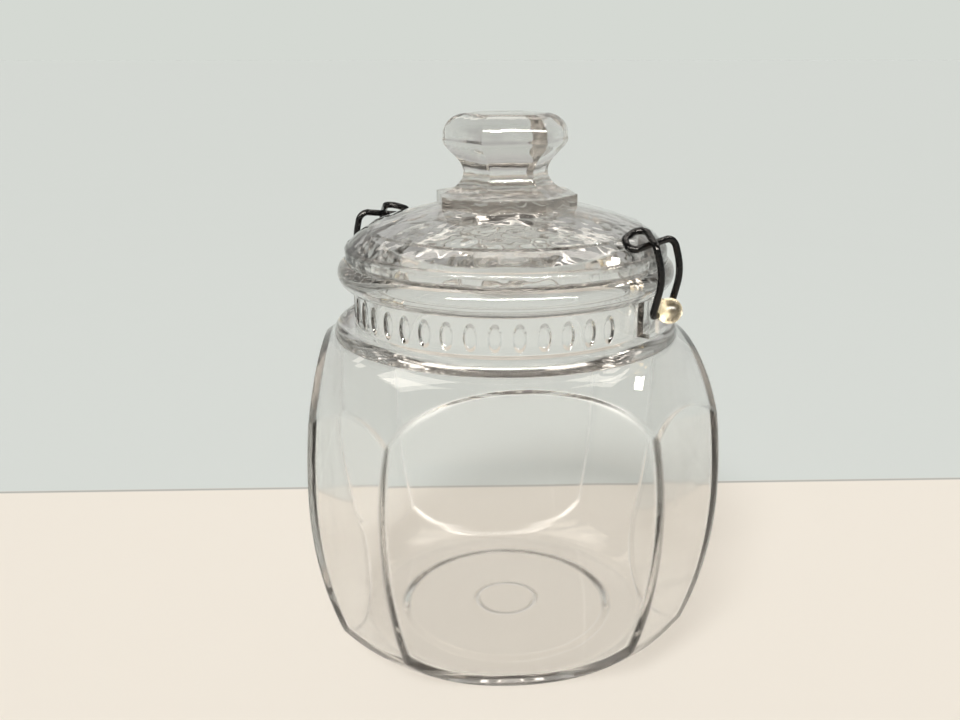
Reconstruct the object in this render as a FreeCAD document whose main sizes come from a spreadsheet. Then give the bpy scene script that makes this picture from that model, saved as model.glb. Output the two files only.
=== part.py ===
"""Lidded glass canister: an eight-sided pressed jar, a domed lid and two wire clips that hold the lid down.

Millimetres. The origin is the centre of the foot, +Z is up and a wide panel faces -Y.
"""
import FreeCAD, Part
import math
import os
import Sketcher

SIZES = {
    # Jar body: a round form and the panels cut into it
    "jar_height": 150.0,
    "belly_radius": 87.2,
    "belly_bulge": 0.1,
    "base_curve": 56.7,
    "shoulder_curve": 40.0,
    "panel_middle": 73.7,
    "panel_inset": 14.2,
    "panel_lower_curve": 182.0,
    "panel_upper_curve": 300.0,
    "corner_inset": 2.3,
    "corner_lower_curve": 152.0,
    "corner_upper_curve": 150.0,
    # Foot
    "foot_radius": 54.6,
    "foot_round": 3.0,
    "foot_ring_width": 11.6,
    "foot_slope": 3.0,
    "base_dish": 1.5,
    "mould_ring_radius": 12.0,
    "mould_ring_width": 1.6,
    "mould_ring_depth": 0.6,
    # Inside
    "wall": 4.5,
    "base_wall": 6.5,
    "floor_thickness": 6.0,
    "floor_round": 7.0,
    "mouth_radius": 52.5,
    "throat_round": 5.0,
    # Neck, from the top down: rolled rim, band of thumbprints and lower bead
    "neck_wall": 4.9,
    "rim_lip": 3.1,
    "rim_height": 9.7,
    "rim_bulge": 4.1,
    "band_height": 12.9,
    "bead_height": 5.1,
    "bead_ledge": 3.6,
    "bead_overhang": 7.6,
    "bead_bulge": 1.5,
    # Thumbprints pressed into the band
    "oval_width": 5.1,
    "oval_height": 10.2,
    "oval_depth": 0.8,
    "oval_margin": 0.7,
    "oval_count": 18,
    "oval_span_angle": 140.25,
    # Lugs for the clips: reaches go out from the neck, the lug drops from the rim, the pivot from the lug
    "lug_angle": 143.0,
    "web_width": 8.0,
    "web_reach": 4.6,
    "lug_drop": 12.5,
    "lug_stem_radius": 3.9,
    "lug_ball_radius": 4.5,
    "lug_ball_reach": 10.0,
    "pivot_reach": 6.9,
    "pivot_drop": 1.3,
    "pivot_clearance": 0.05,
    # Lid
    "seat_gap": 0.3,
    "plug_gap": 0.8,
    "plug_depth": 6.0,
    "plug_wall": 5.5,
    "underside_low": 1.5,
    "underside_rise": 9.0,
    "lid_inset": 0.3,
    "lid_edge_break": 0.8,
    "lid_edge_height": 3.6,
    "lid_edge_round": 1.8,
    "dome_foot_inset": 1.4,
    "dome_foot_rise": 1.7,
    "dome_width": 7.2,
    "dome_rise": 5.5,
    "outer_dome_curve": 20.0,
    "step_run": 0.6,
    "step_rise": 0.8,
    "crown_rise": 7.6,
    "inner_dome_curve": 140.0,
    # Eight-sided collar and six-sided knob, each level measured up from the one below it
    "knob_angle": 4.5,
    "collar_radius": 26.9,
    "collar_root": 3.2,
    "collar_height": 4.2,
    "crown_inset": 2.9,
    "flare_foot_inset": 2.6,
    "flare_radius": 18.2,
    "flare_rise": 3.0,
    "waist_radius": 15.8,
    "waist_rise": 4.0,
    "cup_radius": 18.6,
    "cup_rise": 6.2,
    "knob_radius": 23.2,
    "knob_rise": 6.6,
    "knob_height": 8.8,
    "knob_crown_round": 7.5,
    # Wire clips: leans go out from the pivot, insets in from the lid's edge, overhangs past the near leg
    "wire_diameter": 2.5,
    "leg_gap": 1.75,
    "stub_end": 1.8,
    "foot_bend": 2.2,
    "bow_lean": 3.5,
    "bow_rise": 14.3,
    "bow_bend": 20.0,
    "shoulder_lean": 0.3,
    "shoulder_rise": 11.5,
    "shoulder_bend": 3.5,
    "strand_step": 1.0,
    "toe_inset": 3.2,
    "toe_overhang": 4.0,
    "toe_bend": 2.4,
    "loop_end_inset": 7.4,
    "loop_end_overhang": 0.3,
    "loop_corner_inset": 5.2,
    "loop_corner_side": 2.4,
    "loop_rise": 3.5,
    "loop_bend": 3.0,
    "clip_gap": 0.6,
}
TOOL_MARGIN = 5.0
OVAL_OVERRUN = 0.2
LEFT = "left"
RIGHT = "right"
COLLAR_SIDES = 8
KNOB_SIDES = 6
PANEL_COUNT = 4
LUG_COUNT = 2
EDGE_TOLERANCE = 0.001
BALANCE_TOLERANCE = 0.01
UPRIGHT = FreeCAD.Vector(0, 1, 0)


class Size:
    """A number of the sheet, or one worked out from it, with the expression that binds it."""

    def __init__(self, value, text):
        self.value = value
        self.text = text

    def __str__(self):
        return self.text

    def combine(self, other, sign, value_of):
        if not isinstance(other, Size):
            other = Size(float(other), str(float(other)))
        return Size(value_of(self.value, other.value), f"({self.text} {sign} {other.text})")

    def __add__(self, other):
        return self.combine(other, "+", lambda a, b: a + b)

    def __sub__(self, other):
        return self.combine(other, "-", lambda a, b: a - b)

    def __mul__(self, other):
        return self.combine(other, "*", lambda a, b: a * b)

    def __truediv__(self, other):
        return self.combine(other, "/", lambda a, b: a / b)


def leg(long_side, other_leg):
    """The other short side of a right-angled triangle."""
    value = math.sqrt(long_side.value ** 2 - other_leg.value ** 2)
    return Size(value, f"sqrt({long_side}^2 - {other_leg}^2)")


def hypotenuse(run, rise):
    """The long side of a right-angled triangle."""
    return Size(math.hypot(run.value, rise.value), f"sqrt({run}^2 + {rise}^2)")


def bulge_radius(run, rise, bulge):
    """The radius of an arc that stands out by the bulge from a chord of that run and rise."""
    return ((run * run + rise * rise) / 4 + bulge * bulge) / (bulge * 2)


doc = FreeCAD.newDocument("canister")
sheet = doc.addObject("Spreadsheet::Sheet", "sizes")
for row, (alias, number) in enumerate(SIZES.items(), start=1):
    sheet.set(f"A{row}", alias.replace("_", " "))
    sheet.set(f"B{row}", str(number))
    sheet.setAlias(f"B{row}", alias)
doc.recompute()
size = {alias: Size(float(sheet.get(alias)), f"sizes.{alias}") for alias in SIZES}
ZERO = Size(0.0, "0")
EIGHTH_TURN = Size(45.0, "45")
QUARTER_TURN = Size(90.0, "90")
HALF_TURN = Size(180.0, "180")
FULL_TURN = Size(360.0, "360")

# Levels of the jar, from its rim down and from its foot up
rim_low = size["jar_height"] - size["rim_height"]
bead_top = rim_low - size["band_height"]
shoulder_top = bead_top - size["bead_height"]
base_run = size["foot_radius"] - size["belly_radius"] + size["base_curve"]
belly_low = size["foot_round"] + leg(size["base_curve"] - size["foot_round"], base_run)

# Radii of the neck, out from the bore of the mouth
neck_radius = size["mouth_radius"] + size["neck_wall"]
rim_edge_radius = neck_radius + size["rim_lip"]
bead_crest_radius = neck_radius + size["bead_ledge"]
bead_foot_radius = neck_radius + size["bead_overhang"]
shoulder_centre = size["belly_radius"] - size["shoulder_curve"]
belly_high = shoulder_top - leg(size["shoulder_curve"], bead_foot_radius - shoulder_centre)
belly_curve = bulge_radius(ZERO, belly_high - belly_low, size["belly_bulge"])

# Places in the lugs
lug_height = size["jar_height"] - size["lug_drop"]
pivot_reach = neck_radius + size["pivot_reach"]
pivot_height = lug_height - size["pivot_drop"]

# Levels and radii of the lid
seat = size["jar_height"] + size["seat_gap"]
lid_radius = rim_edge_radius - size["lid_inset"]
lid_edge_top = seat + size["lid_edge_height"]
dome_foot = (lid_radius - size["dome_foot_inset"], lid_edge_top + size["dome_foot_rise"])
dome_top = (dome_foot[0] - size["dome_width"], dome_foot[1] + size["dome_rise"])
step_top = (dome_top[0] - size["step_run"], dome_top[1] + size["step_rise"])
crown_height = step_top[1] + size["crown_rise"]


def origin_part(body, role):
    """An origin plane or axis of a body."""
    return next(part for part in body.Origin.OriginFeatures if part.Role == role)


def new_sketch(body, name, role):
    sketch = body.newObject("Sketcher::SketchObject", name)
    sketch.AttachmentSupport = [(origin_part(body, role), "")]
    sketch.MapMode = "FlatFace"
    return sketch


def turn_sketch(sketch, axis, angle):
    """Turn a sketch about an axis of its own plane by an angle of the sheet."""
    sketch.AttachmentOffset = FreeCAD.Placement(FreeCAD.Vector(), FreeCAD.Rotation(axis, angle.value))
    sketch.setExpression("AttachmentOffset.Rotation.Angle", angle.text)


def place_level(sketch, height, angle):
    """Lift a level sketch to a height and turn it about the upright axis."""
    spin = FreeCAD.Rotation(FreeCAD.Vector(0, 0, 1), angle.value)
    sketch.AttachmentOffset = FreeCAD.Placement(FreeCAD.Vector(0, 0, height.value), spin)
    sketch.setExpression("AttachmentOffset.Base.z", height.text)
    sketch.setExpression("AttachmentOffset.Rotation.Angle", angle.text)


def bind(sketch, constraint, text):
    """Add a constraint whose number follows the sheet."""
    index = sketch.addConstraint(constraint)
    sketch.setExpression(f"Constraints[{index}]", text)


def pin(sketch, geometry, end, corner):
    """Hold one end of a sketch element at a corner, measured from the sketch's origin."""
    for kind, axis, place in (("DistanceX", -2, corner[0]), ("DistanceY", -1, corner[1])):
        if place.value == 0:
            sketch.addConstraint(Sketcher.Constraint("PointOnObject", geometry, end, axis))
        elif place.value > 0:
            bind(sketch, Sketcher.Constraint(kind, -1, 1, geometry, end, place.value), place.text)
        else:
            bind(sketch, Sketcher.Constraint(kind, geometry, end, -1, 1, -place.value), f"-{place.text}")


def arc_between(start, end, radius):
    """The short arc from start to end that turns left."""
    chord = end - start
    left = FreeCAD.Vector(-chord.y, chord.x, 0).normalize()
    centre = (start + end) * 0.5 + left * math.sqrt(radius ** 2 - (chord.Length / 2) ** 2)
    first = math.atan2(start.y - centre.y, start.x - centre.x)
    last = math.atan2(end.y - centre.y, end.x - centre.x)
    if last < first:
        last += 2 * math.pi
    return Part.ArcOfCircle(Part.Circle(centre, FreeCAD.Vector(0, 0, 1), radius), first, last)


def draw(sketch, corners):
    """Draw a closed outline. A corner is (x, y), or (x, y, radius, way) where an arc leads to the next."""
    points = [FreeCAD.Vector(corner[0].value, corner[1].value, 0) for corner in corners]
    sides = []
    for corner, start, end in zip(corners, points, points[1:] + points[:1]):
        if len(corner) == 2:
            sides.append((sketch.addGeometry(Part.LineSegment(start, end), False), 1, 2))
        elif corner[3] == LEFT:
            sides.append((sketch.addGeometry(arc_between(start, end, corner[2].value), False), 1, 2))
        else:
            sides.append((sketch.addGeometry(arc_between(end, start, corner[2].value), False), 2, 1))
    for corner, side, following in zip(corners, sides, sides[1:] + sides[:1]):
        geometry, start, end = side
        sketch.addConstraint(Sketcher.Constraint("Coincident", geometry, end, following[0], following[1]))
        pin(sketch, geometry, start, corner)
        if len(corner) > 2:
            radius = corner[2]
            bind(sketch, Sketcher.Constraint("Radius", geometry, radius.value), radius.text)


def axis_line(sketch, start, end):
    """A construction line to turn a profile about."""
    points = [FreeCAD.Vector(corner[0].value, corner[1].value, 0) for corner in (start, end)]
    line = sketch.addGeometry(Part.LineSegment(*points), True)
    pin(sketch, line, 1, start)
    pin(sketch, line, 2, end)


def revolve(body, name, sketch, axis, kind="Revolution"):
    """A full turn of a sketch, added to the body or, as a Groove, taken from it."""
    feature = body.newObject(f"PartDesign::{kind}", name)
    feature.Profile = sketch
    feature.ReferenceAxis = (sketch, [axis])
    feature.Angle = FULL_TURN.value
    sketch.Visibility = False
    return feature


def repeat(body, name, features, angle, count):
    """Copies of some features spread about the upright axis."""
    pattern = body.newObject("PartDesign::PolarPattern", name)
    pattern.Originals = features
    pattern.Axis = (origin_part(body, "Z_Axis"), [""])
    pattern.setExpression("Angle", angle.text)
    pattern.setExpression("Occurrences", str(count))
    body.Tip = pattern
    doc.recompute()


def side_start(reach, curve, middle, bottom, corner_round):
    """The lower side of the jar: from the floor, round its corner, to the level where it stands upright."""
    centre = reach - curve
    inner_curve = curve - corner_round
    drop = middle - bottom - corner_round
    run = leg(inner_curve, drop)
    stretch = curve / inner_curve
    return [
        (centre + run, bottom, corner_round, LEFT),
        (centre + run * stretch, middle - drop * stretch, curve, LEFT),
    ]


def cut_panels(body, name, turn, inset):
    """Cut four panels, a quarter turn apart, from the round form; the inside ones are set in by the wall."""
    reach = size["belly_radius"] - size[f"{name}_inset"] - inset
    lower = size[f"{name}_lower_curve"] - inset
    upper = size[f"{name}_upper_curve"] - inset
    middle = size["panel_middle"]
    below = ZERO - TOOL_MARGIN
    top = shoulder_top - TOOL_MARGIN / 2
    outside = size["belly_radius"] + TOOL_MARGIN
    sketch = new_sketch(body, f"{name}_outline", "XZ_Plane")
    turn_sketch(sketch, UPRIGHT, turn)
    draw(sketch, [
        (reach - lower + leg(lower, middle - below), below, lower, LEFT),
        (reach, middle, upper, LEFT),
        (reach - upper + leg(upper, top - middle), top),
        (outside, top),
        (outside, below),
    ])
    volume_before = body.Shape.Volume
    cut = body.newObject("PartDesign::Pocket", name)
    cut.Profile = sketch
    cut.SideType = "Symmetric"
    cut.setExpression("Length", (outside * 2).text)
    sketch.Visibility = False
    repeat(body, f"{name}s", [cut], FULL_TURN, PANEL_COUNT)
    centre = body.Shape.CenterOfGravity
    if body.Shape.Volume >= volume_before or math.hypot(centre.x, centre.y) > BALANCE_TOLERANCE:
        raise RuntimeError(f"the four {name} cuts are not all there")


def throat():
    """Where the inside of the shoulder rolls round into the bore of the mouth."""
    inner_curve = size["shoulder_curve"] - size["wall"]
    reach = inner_curve + size["throat_round"]
    run = size["mouth_radius"] + size["throat_round"] - shoulder_centre
    rise = leg(reach, run)
    share = inner_curve / reach
    low = (shoulder_centre + run * share, belly_high + rise * share)
    high = (size["mouth_radius"], belly_high + rise)
    return low, high


def build_jar_outside():
    body = doc.addObject("PartDesign::Body", "jar_outside")
    ring_half = size["mould_ring_width"] / 2
    ring_inner = size["foot_radius"] - size["foot_ring_width"]
    bead_curve = bulge_radius(bead_foot_radius - bead_crest_radius, size["bead_height"], size["bead_bulge"])
    rim_curve = bulge_radius(size["rim_lip"], size["rim_height"], size["rim_bulge"])
    sketch = new_sketch(body, "jar_profile", "XZ_Plane")
    turn_sketch(sketch, UPRIGHT, size["lug_angle"])
    draw(sketch, [
        (ZERO, size["base_dish"]),
        (size["mould_ring_radius"] - ring_half, size["base_dish"]),
        (size["mould_ring_radius"], size["base_dish"] + size["mould_ring_depth"]),
        (size["mould_ring_radius"] + ring_half, size["base_dish"]),
        (ring_inner - size["foot_slope"], size["base_dish"]),
        (ring_inner, ZERO),
    ] + side_start(size["belly_radius"], size["base_curve"], belly_low, ZERO, size["foot_round"]) + [
        (size["belly_radius"], belly_low, belly_curve, LEFT),
        (size["belly_radius"], belly_high, size["shoulder_curve"], LEFT),
        (bead_foot_radius, shoulder_top, bead_curve, LEFT),
        (bead_crest_radius, bead_top),
        (neck_radius, bead_top),
        (neck_radius, rim_low, rim_curve, LEFT),
        (rim_edge_radius, size["jar_height"]),
        (ZERO, size["jar_height"]),
    ])
    revolve(body, "jar_round", sketch, "V_Axis")
    doc.recompute()
    cut_panels(body, "panel", ZERO, ZERO)
    cut_panels(body, "corner", EIGHTH_TURN, ZERO)
    press_thumbprints(body)
    add_lugs(body)
    return body


def press_thumbprints(body):
    """Upright ovals round the band, each from a ring that lies on its side, with a gap at each lug."""
    depth = size["oval_depth"]
    width = size["oval_width"]
    half = size["oval_height"] / 2
    chord_depth = depth - width * width / (neck_radius * 8)
    cross_curve = bulge_radius(width, ZERO, chord_depth)
    upright_curve = bulge_radius(size["oval_height"], ZERO, depth)
    deepest = neck_radius - depth
    outer = neck_radius + OVAL_OVERRUN
    outer_half = leg(cross_curve, deepest + cross_curve - outer)
    sweep = Size(
        2 * math.degrees(math.asin((half.value + OVAL_OVERRUN) / upright_curve.value)),
        f"2 * asin(({half} + {OVAL_OVERRUN}) / {upright_curve})",
    )
    level = bead_top + size["oval_margin"] + half
    ring_axis = deepest + upright_curve
    gap = (HALF_TURN - size["oval_span_angle"]) / 2
    for side in range(LUG_COUNT):
        sketch = new_sketch(body, f"oval_outline_{side}", "XY_Plane")
        place_level(sketch, level, size["lug_angle"] + gap + HALF_TURN * side)
        draw(sketch, [(outer, outer_half, cross_curve, LEFT), (outer, ZERO - outer_half)])
        axis_line(sketch, (ring_axis, ZERO - half), (ring_axis, half))
        oval = revolve(body, f"oval_{side}", sketch, "Axis0", "Groove")
        oval.setExpression("Angle", sweep.text)
        oval.Midplane = True
        repeat(body, f"ovals_{side}", [oval], size["oval_span_angle"], size["oval_count"])


def add_lugs(body):
    """Two opposite lugs: an upright web between the beads, a stem with a ball end and a bore for the wire."""
    root = (neck_radius + size["mouth_radius"]) / 2
    web_reach = neck_radius + size["web_reach"]
    web_low = bead_top - size["bead_height"] / 2
    web_high = rim_low + size["rim_height"] / 2
    ball_reach = neck_radius + size["lug_ball_reach"]

    web_sketch = new_sketch(body, "web_outline", "XZ_Plane")
    turn_sketch(web_sketch, UPRIGHT, size["lug_angle"])
    draw(web_sketch, [(root, web_low), (web_reach, web_low), (web_reach, web_high), (root, web_high)])
    web = body.newObject("PartDesign::Pad", "web")
    web.Profile = web_sketch
    web.SideType = "Symmetric"
    web.setExpression("Length", size["web_width"].text)

    stem_sketch = new_sketch(body, "stem_outline", "XZ_Plane")
    turn_sketch(stem_sketch, UPRIGHT, size["lug_angle"])
    stem_top = lug_height + size["lug_stem_radius"]
    ball_start = ball_reach - leg(size["lug_ball_radius"], size["lug_stem_radius"])
    draw(stem_sketch, [
        (root, lug_height),
        (ball_reach + size["lug_ball_radius"], lug_height, size["lug_ball_radius"], LEFT),
        (ball_start, stem_top),
        (root, stem_top),
    ])
    axis_line(stem_sketch, (root, lug_height), (ball_reach, lug_height))
    stem = revolve(body, "stem", stem_sketch, "Axis0")

    bore_sketch = new_sketch(body, "bore_outline", "XZ_Plane")
    turn_sketch(bore_sketch, UPRIGHT, size["lug_angle"])
    bore_radius = size["wire_diameter"] / 2 + size["pivot_clearance"]
    circle = Part.Circle(FreeCAD.Vector(pivot_reach.value, pivot_height.value, 0),
                         FreeCAD.Vector(0, 0, 1), bore_radius.value)
    ring = bore_sketch.addGeometry(circle, False)
    pin(bore_sketch, ring, 3, (pivot_reach, pivot_height))
    bind(bore_sketch, Sketcher.Constraint("Radius", ring, bore_radius.value), bore_radius.text)
    bore = body.newObject("PartDesign::Pocket", "bore")
    bore.Profile = bore_sketch
    bore.SideType = "Symmetric"
    bore.setExpression("Length", (size["web_width"] * 2).text)

    repeat(body, "lugs", [web, stem, bore], FULL_TURN, LUG_COUNT)


def build_jar():
    outside = build_jar_outside()
    inside = doc.addObject("PartDesign::Body", "jar_inside")
    above = size["jar_height"] + TOOL_MARGIN
    throat_low, throat_high = throat()
    sketch = new_sketch(inside, "inside_profile", "XZ_Plane")
    turn_sketch(sketch, UPRIGHT, size["lug_angle"])
    inner_radius = size["belly_radius"] - size["wall"]
    draw(sketch, [
        (ZERO, size["floor_thickness"]),
    ] + side_start(inner_radius, size["base_curve"] - size["base_wall"], belly_low,
                   size["floor_thickness"], size["floor_round"]) + [
        (inner_radius, belly_low, belly_curve, LEFT),
        (inner_radius, belly_high, size["shoulder_curve"] - size["wall"], LEFT),
        throat_low + (size["throat_round"], RIGHT),
        throat_high,
        (size["mouth_radius"], above),
        (ZERO, above),
    ])
    revolve(inside, "inside_round", sketch, "V_Axis")
    doc.recompute()
    cut_panels(inside, "panel", ZERO, size["wall"])
    cut_panels(inside, "corner", EIGHTH_TURN, size["wall"])
    jar = doc.addObject("Part::Cut", "jar")
    jar.Base = outside
    jar.Tool = inside
    return jar


def polygon(body, name, sides, radius, height):
    """A level outline of equal sides, one of which faces the front before the knob's turn."""
    front_turn = (QUARTER_TURN.value - HALF_TURN.value / sides) % (FULL_TURN.value / sides)
    sketch = new_sketch(body, name, "XY_Plane")
    place_level(sketch, height, size["knob_angle"] + front_turn)
    circle = sketch.addGeometry(Part.Circle(FreeCAD.Vector(), FreeCAD.Vector(0, 0, 1), radius.value), True)
    sketch.addConstraint(Sketcher.Constraint("Coincident", circle, 3, -1, 1))
    bind(sketch, Sketcher.Constraint("Radius", circle, radius.value), radius.text)
    angles = [2 * math.pi * side / sides for side in range(sides)]
    corners = [FreeCAD.Vector(math.cos(angle), math.sin(angle), 0) * radius.value for angle in angles]
    lines = []
    for start, end in zip(corners, corners[1:] + corners[:1]):
        lines.append(sketch.addGeometry(Part.LineSegment(start, end), False))
    for line, following in zip(lines, lines[1:] + lines[:1]):
        sketch.addConstraint(Sketcher.Constraint("Coincident", line, 2, following, 1))
        sketch.addConstraint(Sketcher.Constraint("PointOnObject", line, 1, circle))
    for line in lines[1:]:
        sketch.addConstraint(Sketcher.Constraint("Equal", lines[0], line))
    sketch.addConstraint(Sketcher.Constraint("PointOnObject", lines[0], 1, -1))
    return sketch


def add_prism(body, name, sides, radius, low, high):
    pad = body.newObject("PartDesign::Pad", name)
    pad.Profile = polygon(body, f"{name}_outline", sides, radius, low)
    pad.setExpression("Length", (high - low).text)
    doc.recompute()
    return pad


def build_lid():
    body = doc.addObject("PartDesign::Body", "lid")
    plug_outer = size["mouth_radius"] - size["plug_gap"]
    plug_inner = plug_outer - size["plug_wall"]
    plug_low = seat - size["plug_depth"]
    underside = seat + size["underside_low"]
    underside_curve = bulge_radius(plug_inner * 2, ZERO, size["underside_rise"])
    sketch = new_sketch(body, "lid_profile", "XZ_Plane")
    draw(sketch, [
        (ZERO, underside + size["underside_rise"], underside_curve, RIGHT),
        (plug_inner, underside),
        (plug_inner, plug_low),
        (plug_outer, plug_low),
        (plug_outer, seat),
        (lid_radius - size["lid_edge_break"], seat),
        (lid_radius, seat + size["lid_edge_break"]),
        (lid_radius, lid_edge_top, size["lid_edge_round"], LEFT),
        dome_foot + (size["outer_dome_curve"], LEFT),
        dome_top,
        step_top + (size["inner_dome_curve"], LEFT),
        (size["collar_radius"] - size["crown_inset"], crown_height),
        (ZERO, crown_height),
    ])
    revolve(body, "lid_round", sketch, "V_Axis")

    level = crown_height + size["collar_height"]
    add_prism(body, "collar", COLLAR_SIDES, size["collar_radius"], crown_height - size["collar_root"], level)
    foot_radius = size["collar_radius"] - size["flare_foot_inset"]
    sections = [polygon(body, "flare_foot_section", KNOB_SIDES, foot_radius, level)]
    for name in ("flare", "waist", "cup", "knob"):
        level = level + size[f"{name}_rise"]
        sections.append(polygon(body, f"{name}_section", KNOB_SIDES, size[f"{name}_radius"], level))
    stem = body.newObject("PartDesign::AdditiveLoft", "knob_stem")
    stem.Profile = sections[0]
    stem.Sections = sections[1:]
    doc.recompute()
    knob_top = level + size["knob_height"]
    knob = add_prism(body, "knob", KNOB_SIDES, size["knob_radius"], level, knob_top)
    crown_edges = []
    for index, edge in enumerate(knob.Shape.Edges, start=1):
        if all(abs(vertex.Z - knob_top.value) < EDGE_TOLERANCE for vertex in edge.Vertexes):
            crown_edges.append(f"Edge{index}")
    crown = body.newObject("PartDesign::Fillet", "crown")
    crown.Base = (knob, crown_edges)
    crown.setExpression("Radius", size["knob_crown_round"].text)
    doc.recompute()
    return body


def over_dome(reach, side):
    """The height at which the wire lies over the lid's outer dome, with its clearance."""
    run = size["dome_width"]
    rise = size["dome_rise"]
    chord = hypotenuse(run, rise)
    depth = leg(size["outer_dome_curve"], chord / 2)
    centre_radius = dome_foot[0] - run / 2 - depth * rise / chord
    centre_height = dome_foot[1] + rise / 2 - depth * run / chord
    wire_curve = size["outer_dome_curve"] + size["wire_diameter"] / 2 + size["clip_gap"]
    return centre_height + leg(wire_curve, hypotenuse(reach, side) - centre_radius)


def clip_points():
    """Bend points of a clip as (out from the axis, along the rim, up) and the bend radius at each.

    The wire leaves the lug, rises in the far leg, crosses under its own return strand to the toe on the near
    side, loops round over the lid and comes back over itself to the near leg.
    """
    far = size["lug_ball_radius"] + size["wire_diameter"] / 2 + size["leg_gap"]
    near = ZERO - far
    bow_reach = pivot_reach + size["bow_lean"]
    bow_height = pivot_height + size["bow_rise"]
    shoulder_reach = pivot_reach + size["shoulder_lean"]
    shoulder_height = bow_height + size["shoulder_rise"]
    toe = (lid_radius - size["toe_inset"], near - size["toe_overhang"])
    loop_end = (lid_radius - size["loop_end_inset"], near - size["loop_end_overhang"])
    loop_height = over_dome(*loop_end)
    loop_corner = (lid_radius - size["loop_corner_inset"], size["loop_corner_side"])
    return [
        ((pivot_reach, size["stub_end"], pivot_height), None),
        ((pivot_reach, far, pivot_height), size["foot_bend"]),
        ((bow_reach, far, bow_height), size["bow_bend"]),
        ((shoulder_reach, far, shoulder_height), size["shoulder_bend"]),
        (toe + (over_dome(*toe),), size["toe_bend"]),
        (loop_end + (loop_height,), size["loop_bend"]),
        (loop_corner + (loop_height + size["loop_rise"],), size["loop_bend"]),
        ((shoulder_reach, near, shoulder_height - size["strand_step"]), size["shoulder_bend"]),
        ((bow_reach, near, bow_height), size["bow_bend"]),
        ((pivot_reach, near, pivot_height), size["foot_bend"]),
        ((pivot_reach, ZERO - size["stub_end"], pivot_height), None),
    ]


def rounded_path(points, bends):
    """A wire of straight stretches with a round bend at each inner point."""
    edges = []
    start = points[0]
    for before, corner, after, bend in zip(points, points[1:], points[2:], bends[1:]):
        inward = (before - corner).normalize()
        outward = (after - corner).normalize()
        half_angle = inward.getAngle(outward) / 2
        tangent = bend / math.tan(half_angle)
        first = corner + inward * tangent
        last = corner + outward * tangent
        bisector = (inward + outward).normalize()
        middle = corner + bisector * (bend / math.sin(half_angle) - bend)
        edges.append(Part.makeLine(start, first))
        edges.append(Part.Arc(first, middle, last).toShape())
        start = last
    edges.append(Part.makeLine(start, points[-1]))
    return Part.Wire(edges)


def build_clip(name, turn):
    """One bent wire, its two ends in a lug."""
    place = FreeCAD.Rotation(FreeCAD.Vector(0, 0, 1), turn)
    bends = clip_points()
    points = [place.multVec(FreeCAD.Vector(*(part.value for part in point))) for point, _ in bends]
    radii = [bend.value if bend else 0.0 for _, bend in bends]
    path = doc.addObject("Part::Feature", f"{name}_path")
    path.Shape = rounded_path(points, radii)
    section = doc.addObject("Part::Circle", f"{name}_section")
    section.setExpression("Radius", (size["wire_diameter"] / 2).text)
    heading = FreeCAD.Rotation(FreeCAD.Vector(0, 0, 1), points[1] - points[0])
    section.Placement = FreeCAD.Placement(points[0], heading)
    clip = doc.addObject("Part::Sweep", name)
    clip.Sections = [section]
    clip.Spine = (path, [f"Edge{index + 1}" for index in range(len(path.Shape.Edges))])
    clip.Solid = True
    return clip


def export(parts):
    """Check the document and write each piece to a file named by its label."""
    doc.recompute()
    for item in doc.Objects:
        if "Invalid" in item.State or "Error" in item.State:
            raise RuntimeError(f"{item.Label} did not build: {item.State}")
    os.makedirs("parts", exist_ok=True)
    for part in parts:
        shape = part.Shape
        if shape.isNull() or not shape.isValid() or len(shape.Solids) != 1:
            raise RuntimeError(f"{part.Label} is not one sound solid")
        shape.exportStep(f"parts/{part.Label}.step")
        print(f"{part.Label}: {shape.Volume / 1000:.1f} cm3, {len(shape.Faces)} faces")


left_angle = size["lug_angle"].value
export([
    build_jar(),
    build_lid(),
    build_clip("clip_right", left_angle + HALF_TURN.value),
    build_clip("clip_left", left_angle),
])
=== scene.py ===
"""Lidded glass canister: materials, light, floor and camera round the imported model.

Lengths are in metres, in the model's own frame.
"""
import math

import bpy
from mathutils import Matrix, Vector

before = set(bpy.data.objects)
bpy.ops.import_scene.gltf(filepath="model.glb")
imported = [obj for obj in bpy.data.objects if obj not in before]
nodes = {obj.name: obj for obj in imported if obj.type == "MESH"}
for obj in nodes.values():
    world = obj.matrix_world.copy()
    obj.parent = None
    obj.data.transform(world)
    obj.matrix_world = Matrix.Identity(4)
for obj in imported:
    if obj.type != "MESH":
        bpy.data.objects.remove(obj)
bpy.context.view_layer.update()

EAST = (1, 0, 0)
NORTH = (0, 1, 0)
UP = (0, 0, 1)

# Octaves of noise
WAVE_DETAIL = 2
FINE_DETAIL = 4

# Camera, as found from the photograph
CAMERA_PLACE = (-0.0291, -0.3719, 0.2232)
CAMERA_TILT = math.radians(72.9)
CAMERA_TURN = math.radians(-4.47)
CAMERA_NEAR = 0.01
IMAGE_WIDTH = 960
FOCAL_PIXELS = 1000
AXIS_PIXEL = 505.8
SENSOR_WIDTH = 36.0

# Ground: a warm table whose far edge runs behind the jar, and a cooler ground beyond it
FLOOR_REACH = 30.0
FLOOR_LEVEL = -0.0003
TABLE_DEPTH = 0.1234
TABLE_TURN = math.radians(-2.45)
TABLE_COLOUR = (0.86, 0.81, 0.73, 1)
BEYOND_COLOUR = (0.67, 0.71, 0.69, 1)
# Painted shade: a dark line on the ground along the table's far edge
TABLE_EDGE_SHADE = (0.42, 0.42, 0.40, 1)
LINE_WIDTH = 0.002
GROUND_ROUGHNESS = 0.9
GROUND_SPECULAR = 0.1

# Room: pale behind the jar, dark in front of it and overhead
HORIZON_COLOUR = (0.665, 0.694, 0.651, 1)
HORIZON_BAND = (0.05, 0.30)
BACK_COLOUR = (0.60, 0.60, 0.58, 1)
ROOM_COLOUR = (0.10, 0.09, 0.08, 1)
BEHIND_BAND = (-0.1, 0.5)
OVERHEAD_BAND = (0.2, 0.9)

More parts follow.
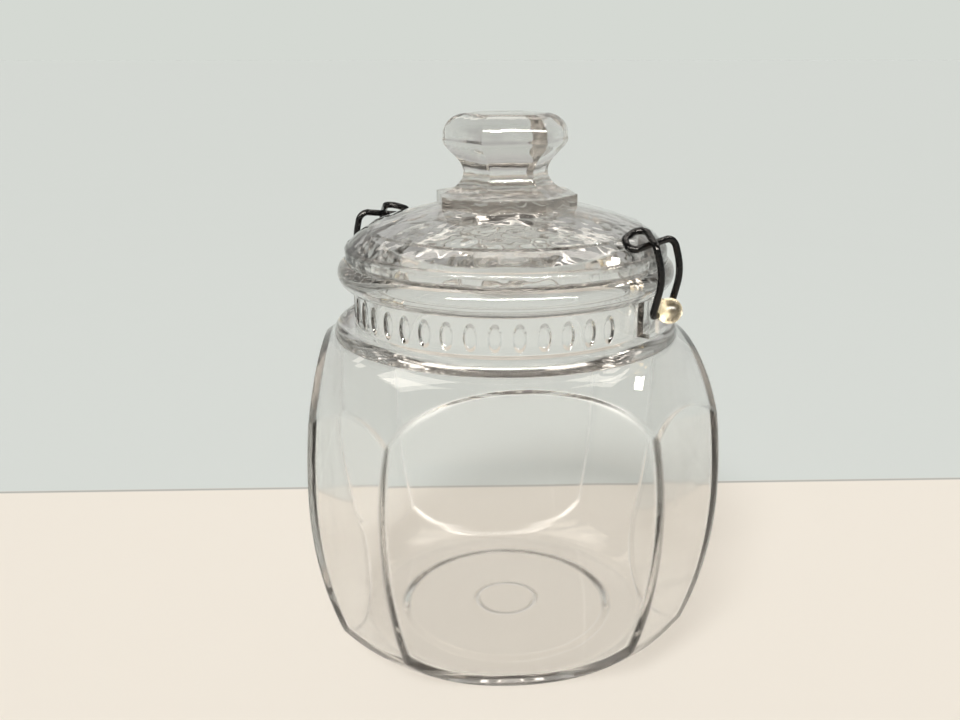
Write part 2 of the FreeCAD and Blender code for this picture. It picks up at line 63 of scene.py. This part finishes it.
# Lamps: a soft sun, and four that show only as highlights on glass and wire
SUN_FROM = (-0.35, -0.75, 0.95)
SUN_STRENGTH = 3.5
SUN_ANGLE = math.radians(18)
SUN_COLOUR = (1.0, 0.985, 0.965)
GLINT_AIM = (0, 0, 0.12)
GLINT_COLOUR = (1.0, 0.94, 0.86)
STRIP_PLACE = (0, -0.61, 0.61)
STRIP_SIZE = (1.2, 0.06)
STRIP_POWER = 24.0
WINDOW_PLACE = (0.61, 0.16, 0.74)
WINDOW_SIZE = (0.20, 0.06)
WINDOW_POWER = 1.6
CLOUD_PLACE = (0, 0.30, 0.95)
CLOUD_SIZE = (1.2, 0.3)
CLOUD_POWER = 4.0
SPARK_PLACE = (0, 0.7, 0.75)
SPARK_SIZE = (1.2, 0.06)
SPARK_POWER = 0.5
LIGHT_PATHS = 24
MIRROR_PATHS = 16

# Glass: what it takes from light on the way through, its softened edges, waves and wear
GLASS_IOR = 1.5
GLASS_COLOUR = (0.995, 0.995, 0.99, 1)
DEPTH_COLOUR = (0.59, 0.565, 0.54, 1)
DEPTH_DENSITY = 15.0
SHADOW_COLOUR = (0.98, 0.98, 0.98, 1)
EDGE_SAMPLES = 4
EDGE_TURN = (0.92, 0.995)
EDGE_ROUGHNESS = 0.35
BODY_ROUND = 0.0025
NECK_ROUND = 0.0004
NECK_BAND = (0.110, 0.116)
LID_ROUND = 0.0008
JAR_WAVE_SCALE = 20
JAR_WAVE_HEIGHT = 0.00015
LID_WAVE_SCALE = 60
LID_WAVE_HEIGHT = 0.0013
RUBBED_SCALE = 60
RUBBED_ROUGHNESS = 0.02
FOOT_BAND = (0.0002, 0.0006)
FOOT_ROUGHNESS = 0.12

# Lug balls: a painted warm reflection tints them amber, and their surface is frosted
LUG_ANGLE = math.radians(-37)
LUG_REACH = 0.0674
LUG_HEIGHT = 0.1375
BALL_BAND = (0.0045, 0.0063)
BALL_REFLECTION_COLOUR = (1.0, 0.84, 0.52, 1)
BALL_ROUGHNESS = 0.25

# Thumbprints round the neck
PRINT_MIDDLE = math.radians(53)
PRINT_STEP = math.radians(8.25)
PRINTS_A_SIDE = 18
PRINT_LEVEL = 0.1332
PRINT_WIDTH = 0.0051
PRINT_HEIGHT = 0.0102
PRINT_DEPTH = 0.0008
RIM_BAND = (0.6, 1.05)
NECK_RADIUS = 0.0574
NECK_INSIDE = 0.0525

# Wire: a black coat, brown where it is worn
COAT_COLOUR = (0.003, 0.003, 0.0033, 1)
WORN_COLOUR = (0.012, 0.008, 0.006, 1)
WORN_SCALE = 180
WORN_BAND = (0.55, 0.75)
COAT_SCALE = 900
COAT_ROUGHNESS = (0.08, 0.22)
COAT_SPECULAR = 0.3
COAT_RIPPLE = 0.0002


def put(tree, socket, value):
    """Feed a socket from another node, or set it to a plain value."""
    if isinstance(value, bpy.types.NodeSocket):
        tree.links.new(value, socket)
    else:
        socket.default_value = value


def calculate(tree, operation, *values):
    node = tree.nodes.new("ShaderNodeMath")
    node.operation = operation
    for socket, value in zip(node.inputs, values):
        put(tree, socket, value)
    return node.outputs["Value"]


def stretch(tree, value, low, high, below, above):
    """A value that goes smoothly from one number at a low input to another at a high one."""
    node = tree.nodes.new("ShaderNodeMapRange")
    node.interpolation_type = "SMOOTHSTEP"
    put(tree, node.inputs["Value"], value)
    for name, number in zip(("From Min", "From Max", "To Min", "To Max"), (low, high, below, above)):
        node.inputs[name].default_value = number
    return node.outputs["Result"]


def blend(tree, first, second, share):
    """Mix two colours by a share from 0 to 1."""
    node = tree.nodes.new("ShaderNodeMix")
    node.data_type = "RGBA"
    put(tree, node.inputs["A"], first)
    put(tree, node.inputs["B"], second)
    put(tree, node.inputs["Factor"], share)
    return node.outputs["Result"]


def along(tree, direction, kind="Object"):
    """How far a point lies along a direction."""
    coordinates = tree.nodes.new("ShaderNodeTexCoord")
    node = tree.nodes.new("ShaderNodeVectorMath")
    node.operation = "DOT_PRODUCT"
    node.inputs[1].default_value = direction
    tree.links.new(coordinates.outputs[kind], node.inputs[0])
    return node.outputs["Value"]


def length(tree, *parts):
    """The length of a vector from its parts."""
    total = 0.0
    for part in parts:
        total = calculate(tree, "MULTIPLY_ADD", part, part, total)
    return calculate(tree, "SQRT", total)


def noise(tree, scale, detail):
    """Noise over the object's own coordinates, in cycles per metre."""
    coordinates = tree.nodes.new("ShaderNodeTexCoord")
    texture = tree.nodes.new("ShaderNodeTexNoise")
    texture.inputs["Scale"].default_value = scale
    texture.inputs["Detail"].default_value = detail
    tree.links.new(coordinates.outputs["Object"], texture.inputs["Vector"])
    return texture.outputs["Fac"]


def bump(tree, height, distance, normal=None):
    node = tree.nodes.new("ShaderNodeBump")
    node.inputs["Distance"].default_value = distance
    tree.links.new(height, node.inputs["Height"])
    if normal:
        tree.links.new(normal, node.inputs["Normal"])
    return node.outputs["Normal"]


def new_material(name):
    """A material with its node tree and its Principled shader."""
    material = bpy.data.materials.new(name)
    material.use_nodes = True
    tree = material.node_tree
    return material, tree, tree.nodes["Principled BSDF"]


def glass(name):
    """Clear glass, tinted with depth, through which lamp light reaches what is behind it."""
    material, tree, shader = new_material(name)
    output = tree.nodes["Material Output"]
    shader.inputs["Base Color"].default_value = GLASS_COLOUR
    shader.inputs["Transmission Weight"].default_value = 1.0
    shader.inputs["IOR"].default_value = GLASS_IOR
    depth = tree.nodes.new("ShaderNodeVolumeAbsorption")
    depth.inputs["Color"].default_value = DEPTH_COLOUR
    depth.inputs["Density"].default_value = DEPTH_DENSITY
    tree.links.new(depth.outputs["Volume"], output.inputs["Volume"])

    clear = tree.nodes.new("ShaderNodeBsdfTransparent")
    clear.inputs["Color"].default_value = SHADOW_COLOUR
    path = tree.nodes.new("ShaderNodeLightPath")
    mix = tree.nodes.new("ShaderNodeMixShader")
    lit = calculate(tree, "MAXIMUM", path.outputs["Is Shadow Ray"], path.outputs["Is Diffuse Ray"])
    tree.links.new(lit, mix.inputs["Fac"])
    tree.links.new(shader.outputs["BSDF"], mix.inputs[1])
    tree.links.new(clear.outputs["BSDF"], mix.inputs[2])
    tree.links.new(mix.outputs["Shader"], output.inputs["Surface"])
    return material, tree, shader


def rubbed(tree):
    """Roughness of a surface that has been handled for years."""
    return stretch(tree, noise(tree, RUBBED_SCALE, FINE_DETAIL), 0, 1, 0, RUBBED_ROUGHNESS)


def soft_edges(tree, edge_round):
    """Normals with softened edges."""
    edge = tree.nodes.new("ShaderNodeBevel")
    edge.samples = EDGE_SAMPLES
    put(tree, edge.inputs["Radius"], edge_round)
    return edge.outputs["Normal"]


def edge_wear(tree, edges):
    """1 along the edges, where the softened normals turn away from the plain ones, and 0 elsewhere."""
    plain = tree.nodes.new("ShaderNodeNewGeometry").outputs["Normal"]
    turn = tree.nodes.new("ShaderNodeVectorMath")
    turn.operation = "DOT_PRODUCT"
    tree.links.new(edges, turn.inputs[0])
    tree.links.new(plain, turn.inputs[1])
    return stretch(tree, calculate(tree, "ABSOLUTE", turn.outputs["Value"]), *EDGE_TURN, 1, 0)


def thumbprints(tree):
    """Height over the pressed ovals, 0 inside each and 1 from its rim on, by angle and level."""
    east = along(tree, EAST)
    north = along(tree, NORTH)
    angle = calculate(tree, "SUBTRACT", calculate(tree, "ARCTAN2", north, east), PRINT_MIDDLE)
    angle = calculate(tree, "WRAP", angle, math.pi / 2, -math.pi / 2)
    step = calculate(tree, "DIVIDE", angle, PRINT_STEP)
    across = calculate(tree, "SUBTRACT", calculate(tree, "FRACT", step), 0.5)
    across = calculate(tree, "MULTIPLY", across, PRINT_STEP * NECK_RADIUS * 2 / PRINT_WIDTH)
    above = calculate(tree, "SUBTRACT", along(tree, UP), PRINT_LEVEL)
    above = calculate(tree, "DIVIDE", above, PRINT_HEIGHT / 2)
    pressed = stretch(tree, length(tree, across, above), *RIM_BAND, 1, 0)
    in_row = calculate(tree, "LESS_THAN", calculate(tree, "ABSOLUTE", step), PRINTS_A_SIDE / 2)
    outer = calculate(tree, "GREATER_THAN", length(tree, east, north), (NECK_INSIDE + NECK_RADIUS) / 2)
    pressed = calculate(tree, "MULTIPLY", pressed, calculate(tree, "MULTIPLY", in_row, outer))
    return calculate(tree, "SUBTRACT", 1, pressed)


def lug_balls(tree):
    """1 in the glass balls on either side of the neck, 0 elsewhere."""
    outward = along(tree, (math.cos(LUG_ANGLE), math.sin(LUG_ANGLE), 0))
    outward = calculate(tree, "SUBTRACT", calculate(tree, "ABSOLUTE", outward), LUG_REACH)
    sideways = along(tree, (-math.sin(LUG_ANGLE), math.cos(LUG_ANGLE), 0))
    above = calculate(tree, "SUBTRACT", along(tree, UP), LUG_HEIGHT)
    return stretch(tree, length(tree, outward, sideways, above), *BALL_BAND, 1, 0)


def jar_glass():
    """Glass with soft worn edges, rounder on the body than on the neck, thumbprints and lug balls with a
    painted warm reflection.
    """
    material, tree, shader = glass("jar_glass")
    level = along(tree, UP)
    edge_round = stretch(tree, level, *NECK_BAND, BODY_ROUND, NECK_ROUND)
    edges = soft_edges(tree, edge_round)
    waves = noise(tree, JAR_WAVE_SCALE, WAVE_DETAIL)
    normal = bump(tree, waves, JAR_WAVE_HEIGHT, edges)
    tree.links.new(bump(tree, thumbprints(tree), PRINT_DEPTH, normal), shader.inputs["Normal"])
    # Painted reflection: the lug balls are tinted amber as if they mirrored warm light, and are frosted
    ball_reflection_and_frost = lug_balls(tree)
    tree.links.new(blend(tree, GLASS_COLOUR, BALL_REFLECTION_COLOUR, ball_reflection_and_frost), shader.inputs["Base Color"])
    worn_foot = stretch(tree, level, *FOOT_BAND, FOOT_ROUGHNESS, 0)
    worn = calculate(tree, "MULTIPLY_ADD", ball_reflection_and_frost, BALL_ROUGHNESS, worn_foot)
    worn = calculate(tree, "MULTIPLY_ADD", edge_wear(tree, edges), EDGE_ROUGHNESS, worn)
    tree.links.new(calculate(tree, "MAXIMUM", rubbed(tree), worn), shader.inputs["Roughness"])
    return material


def lid_glass():
    """Glass with soft edges and stronger waves than the jar's."""
    material, tree, shader = glass("lid_glass")
    waves = noise(tree, LID_WAVE_SCALE, WAVE_DETAIL)
    normal = bump(tree, waves, LID_WAVE_HEIGHT, soft_edges(tree, LID_ROUND))
    tree.links.new(normal, shader.inputs["Normal"])
    tree.links.new(rubbed(tree), shader.inputs["Roughness"])
    return material


def wire_coat():
    """Black coated wire with a gloss and small ripples, brown where the coat is worn."""
    material, tree, shader = new_material("wire_coat")
    shader.inputs["Specular IOR Level"].default_value = COAT_SPECULAR
    worn = stretch(tree, noise(tree, WORN_SCALE, FINE_DETAIL), *WORN_BAND, 0, 1)
    tree.links.new(blend(tree, COAT_COLOUR, WORN_COLOUR, worn), shader.inputs["Base Color"])
    grain = noise(tree, COAT_SCALE, FINE_DETAIL)
    tree.links.new(stretch(tree, grain, 0, 1, *COAT_ROUGHNESS), shader.inputs["Roughness"])
    tree.links.new(bump(tree, grain, COAT_RIPPLE), shader.inputs["Normal"])
    return material


def ground():
    """Matt ground, warm near the jar and cool beyond the table's edge, with a painted shadow line between."""
    material, tree, shader = new_material("ground")
    shader.inputs["Roughness"].default_value = GROUND_ROUGHNESS
    shader.inputs["Specular IOR Level"].default_value = GROUND_SPECULAR
    depth = along(tree, (-math.sin(TABLE_TURN), math.cos(TABLE_TURN), 0))
    beyond = calculate(tree, "SUBTRACT", depth, TABLE_DEPTH)
    colour = blend(tree, TABLE_COLOUR, BEYOND_COLOUR, stretch(tree, beyond, 0, LINE_WIDTH, 0, 1))
    # Painted shade: a darker line where the table's edge meets the ground beyond
    edge_shade_share = stretch(tree, calculate(tree, "ABSOLUTE", beyond), 0, LINE_WIDTH, 1, 0)
    tree.links.new(blend(tree, colour, TABLE_EDGE_SHADE, edge_shade_share), shader.inputs["Base Color"])
    return material


def set_material(obj, material):
    obj.data.materials.clear()
    obj.data.materials.append(material)


def add_to_scene(name, data):
    obj = bpy.data.objects.new(name, data)
    bpy.context.scene.collection.objects.link(obj)
    return obj


def build_floor():
    mesh = bpy.data.meshes.new("floor")
    corners = [(x * FLOOR_REACH, y * FLOOR_REACH, FLOOR_LEVEL)
               for x, y in ((-1, -1), (1, -1), (1, 1), (-1, 1))]
    mesh.from_pydata(corners, [], [(0, 1, 2, 3)])
    floor = add_to_scene("floor", mesh)
    set_material(floor, ground())


def build_room():
    """Surroundings that are pale behind the jar and darker in front of it and overhead."""
    world = bpy.data.worlds.new("room")
    world.use_nodes = True
    tree = world.node_tree
    behind = stretch(tree, along(tree, NORTH, "Generated"), *BEHIND_BAND, 0, 1)
    low = stretch(tree, along(tree, UP, "Generated"), *OVERHEAD_BAND, 1, 0)
    colour = blend(tree, ROOM_COLOUR, BACK_COLOUR, calculate(tree, "MULTIPLY", behind, low))
    path = tree.nodes.new("ShaderNodeLightPath")
    level = calculate(tree, "ABSOLUTE", along(tree, UP, "Generated"))
    in_glass = calculate(tree, "MAXIMUM", path.outputs["Is Glossy Ray"], path.outputs["Is Transmission Ray"])
    in_glass = calculate(tree, "MULTIPLY", in_glass, stretch(tree, level, *HORIZON_BAND, 1, 0))
    shown = calculate(tree, "MAXIMUM", path.outputs["Is Camera Ray"], in_glass)
    colour = blend(tree, colour, HORIZON_COLOUR, shown)
    tree.links.new(colour, tree.nodes["Background"].inputs["Color"])
    bpy.context.scene.world = world


def face(obj, place, aim):
    """Put an object at a place and turn its lamp side to a point."""
    obj.location = place
    obj.rotation_euler = (Vector(place) - Vector(aim)).to_track_quat("Z", "Y").to_euler()


def build_sun():
    """The main light, soft and from the front left."""
    data = bpy.data.lights.new("sun", "SUN")
    data.energy = SUN_STRENGTH
    data.angle = SUN_ANGLE
    data.color = SUN_COLOUR
    sun = add_to_scene("sun", data)
    face(sun, SUN_FROM, (0, 0, 0))
    sun.visible_transmission = False
    sun.visible_glossy = False


def build_glint(name, place, size, power, through):
    """A lamp that shows only as a highlight, on glass and wire or also through the glass."""
    data = bpy.data.lights.new(name, "AREA")
    data.shape = "RECTANGLE"
    data.size, data.size_y = size
    data.energy = power
    data.color = GLINT_COLOUR
    lamp = add_to_scene(name, data)
    face(lamp, place, GLINT_AIM)
    lamp.visible_camera = False
    lamp.visible_diffuse = False
    lamp.visible_transmission = through


def build_camera():
    data = bpy.data.cameras.new("camera")
    data.sensor_width = SENSOR_WIDTH
    data.lens = SENSOR_WIDTH * FOCAL_PIXELS / IMAGE_WIDTH
    data.shift_x = (IMAGE_WIDTH / 2 - AXIS_PIXEL) / IMAGE_WIDTH
    data.clip_start = CAMERA_NEAR
    camera = add_to_scene("camera", data)
    camera.location = CAMERA_PLACE
    camera.rotation_euler = (CAMERA_TILT, 0, CAMERA_TURN)
    bpy.context.scene.camera = camera


set_material(nodes["jar"], jar_glass())
set_material(nodes["lid"], lid_glass())
coat = wire_coat()
for clip in ("clip_right", "clip_left"):
    set_material(nodes[clip], coat)
build_floor()
build_room()
build_sun()
build_glint("strip", STRIP_PLACE, STRIP_SIZE, STRIP_POWER, through=False)
build_glint("window", WINDOW_PLACE, WINDOW_SIZE, WINDOW_POWER, through=False)
build_glint("cloud", CLOUD_PLACE, CLOUD_SIZE, CLOUD_POWER, through=True)
build_glint("spark", SPARK_PLACE, SPARK_SIZE, SPARK_POWER, through=True)
build_camera()
scene = bpy.context.scene
scene.view_settings.view_transform = "Standard"
# Light is turned back inside thick glass many times before it comes out
scene.cycles.max_bounces = LIGHT_PATHS
scene.cycles.transmission_bounces = LIGHT_PATHS
scene.cycles.glossy_bounces = MIRROR_PATHS
